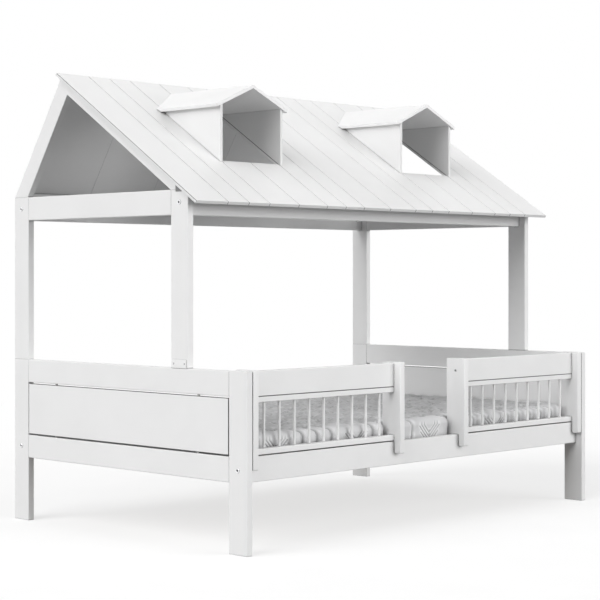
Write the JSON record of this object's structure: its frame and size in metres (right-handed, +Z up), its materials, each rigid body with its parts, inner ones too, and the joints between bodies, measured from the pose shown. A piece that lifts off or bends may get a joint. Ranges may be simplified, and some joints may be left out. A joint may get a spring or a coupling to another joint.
{
  "type": "house frame bed",
  "caption": "Child's bed inside an open house frame: board ends, lift-off guards with thin spindles beside an entrance, a mattress, and a lopsided pitched roof with dormer windows.",
  "frame": {"origin": "on the floor below the middle of the bed, centre of the bottom of the whole object's box", "axes": "+X right along the bed seen from the open front, +Y to the back, +Z up"},
  "size_m": [2.126, 1.32, 1.758],
  "materials": {
    "white_wood": "smooth satin white lacquer",
    "roof_board": "smooth satin white lacquer on board",
    "slat_wood": "planed pale softwood",
    "dowel_wood": "turned pale hardwood",
    "zinc_steel": "zinc-plated steel",
    "plate_steel": "white powder coat",
    "mattress_cover": "quilted satin knit"
  },
  "bodies": {
    "bed_frame": {"back_roof_boards": "roof_board", "barrel_nuts": "zinc_steel", "bed_slats": "slat_wood", "dormer_left_cheek_east": "roof_board", "dormer_left_cheek_west": "roof_board", "dormer_left_roof_east": "roof_board", "dormer_left_roof_west": "roof_board", "dormer_right_cheek_east": "roof_board", "dormer_right_cheek_west": "roof_board", "dormer_right_roof_east": "roof_board", "dormer_right_roof_west": "roof_board", "dowels": "dowel_wood", "end_lower_rail_left": "white_wood", "end_lower_rail_right": "white_wood", "end_panel_left": "white_wood", "end_panel_right": "white_wood", "end_top_rail_left": "white_wood", "end_top_rail_right": "white_wood", "frame_bolts": "zinc_steel", "gable_beam_left": "white_wood", "gable_beam_right": "white_wood", "leg_back_left": "white_wood", "leg_back_right": "white_wood", "leg_front_left": "white_wood", "leg_front_right": "white_wood", "plate_screws": "zinc_steel", "post_plates": "plate_steel", "rafter_back_left": "white_wood", "rafter_back_right": "white_wood", "rafter_front_left": "white_wood", "rafter_front_right": "white_wood", "roof_batten_eave": "white_wood", "roof_batten_foot": "white_wood", "roof_batten_ridge": "white_wood", "roof_beam_back": "white_wood", "roof_beam_front": "white_wood", "roof_panel_1": "roof_board", "roof_panel_2": "roof_board", "roof_panel_3": "roof_board", "roof_panel_4": "roof_board", "side_rail_back": "white_wood", "side_rail_front": "white_wood", "slat_ledges": "white_wood", "upper_post_back_left": "white_wood", "upper_post_back_right": "white_wood", "upper_post_front_left": "white_wood", "upper_post_front_right": "white_wood"},
    "guard_left": {"guard_stile_left_outer": "white_wood", "guard_stile_left_inner": "white_wood", "guard_top_rail_left": "white_wood", "guard_battens_left": "white_wood", "guard_spindles_left": "white_wood", "guard_screws_left": "zinc_steel"},
    "guard_right": {"guard_stile_right_outer": "white_wood", "guard_stile_right_inner": "white_wood", "guard_top_rail_right": "white_wood", "guard_battens_right": "white_wood", "guard_spindles_right": "white_wood", "guard_screws_right": "zinc_steel"},
    "mattress_body": {"mattress": "mattress_cover"}
  },
  "joints": [
    {"name": "guard_left_lift", "type": "slide", "parent": "bed_frame", "child": "guard_left", "axis": [0, 0, 1], "range_m": [0, 0.12]},
    {"name": "guard_right_lift", "type": "slide", "parent": "bed_frame", "child": "guard_right", "axis": [0, 0, 1], "range_m": [0, 0.12]},
    {"name": "mattress_lift", "type": "slide", "parent": "bed_frame", "child": "mattress_body", "axis": [0, 0, 1], "range_m": [0, 0.4]}
  ]
}
